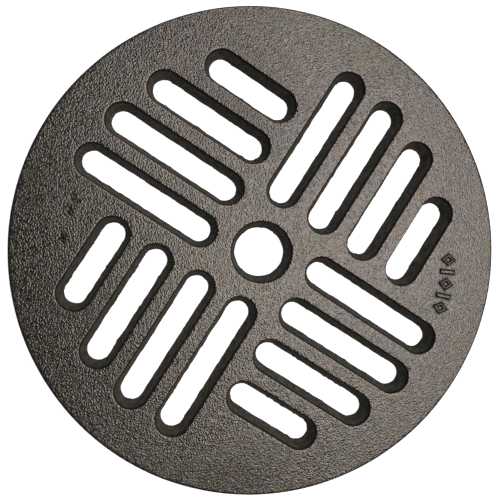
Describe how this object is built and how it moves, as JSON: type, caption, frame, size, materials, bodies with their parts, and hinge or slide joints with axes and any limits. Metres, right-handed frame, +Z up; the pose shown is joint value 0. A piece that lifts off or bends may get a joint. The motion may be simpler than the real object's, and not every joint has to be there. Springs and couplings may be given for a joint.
{
  "type": "floor drain grate",
  "caption": "Round flat cast-iron drain grate with parallel round-ended slots set in a pinwheel around a central lifting hole; lies loose in a floor drain.",
  "frame": {"origin": "centre of the flat underside, which rests in the drain's seat", "axes": "+Z is up, square to the plate; the slots run along X and Y"},
  "size_m": [0.235, 0.235, 0.0101],
  "materials": {
    "cast_iron": "bare sand-cast iron, fine grainy skin, dull satin"
  },
  "bodies": {
    "root": {"cast_grate": "cast_iron"}
  },
  "joints": []
}
